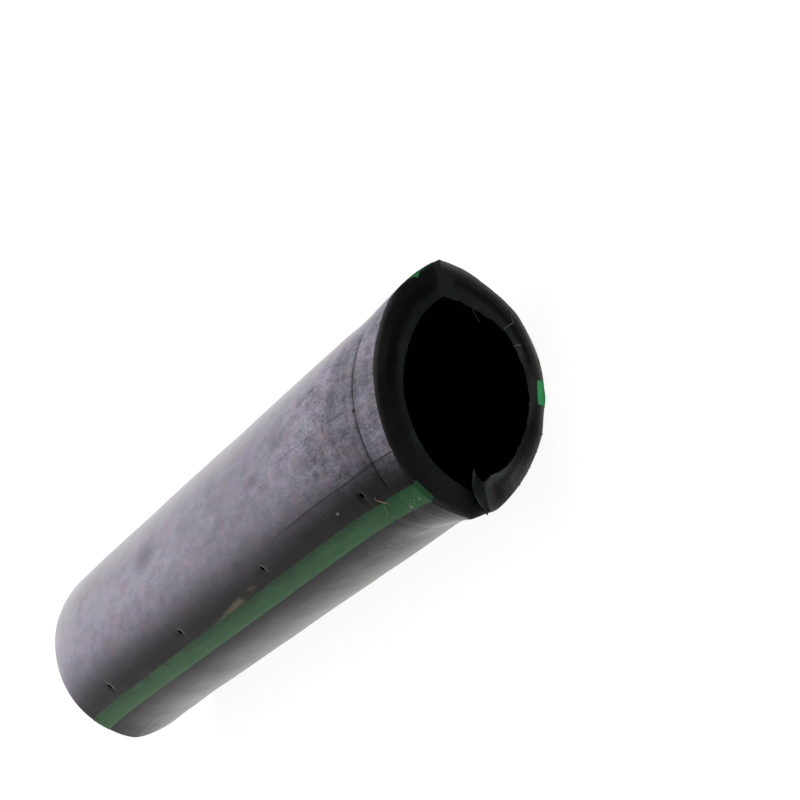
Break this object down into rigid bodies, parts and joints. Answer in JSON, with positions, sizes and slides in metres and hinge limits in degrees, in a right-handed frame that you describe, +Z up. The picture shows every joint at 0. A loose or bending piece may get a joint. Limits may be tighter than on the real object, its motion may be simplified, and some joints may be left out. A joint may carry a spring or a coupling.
{
  "type": "soaker hose offcut",
  "caption": "Short offcut of a two-layer black soaker hose with green marker stripes, a row of weep holes and pinched, snipped ends.",
  "frame": {"origin": "on the floor, under the middle of the hose's box", "axes": "+X along the hose towards the pictured mouth, +Y along the mouth's crests, +Z up from the floor"},
  "size_m": [0.084, 0.0194, 0.0158],
  "materials": {
    "tube": "black polyethylene, dull where it is cut",
    "skin": "black polyethylene with a satin sheen, fine scuffs and smudges",
    "stripe": "green polyethylene, flush with the skin, satin"
  },
  "bodies": {
    "root": {"inner_tube": "tube", "outer_skin": "skin", "front_stripe": "stripe", "back_stripe": "stripe", "bottom_stripe": "stripe"}
  },
  "joints": []
}
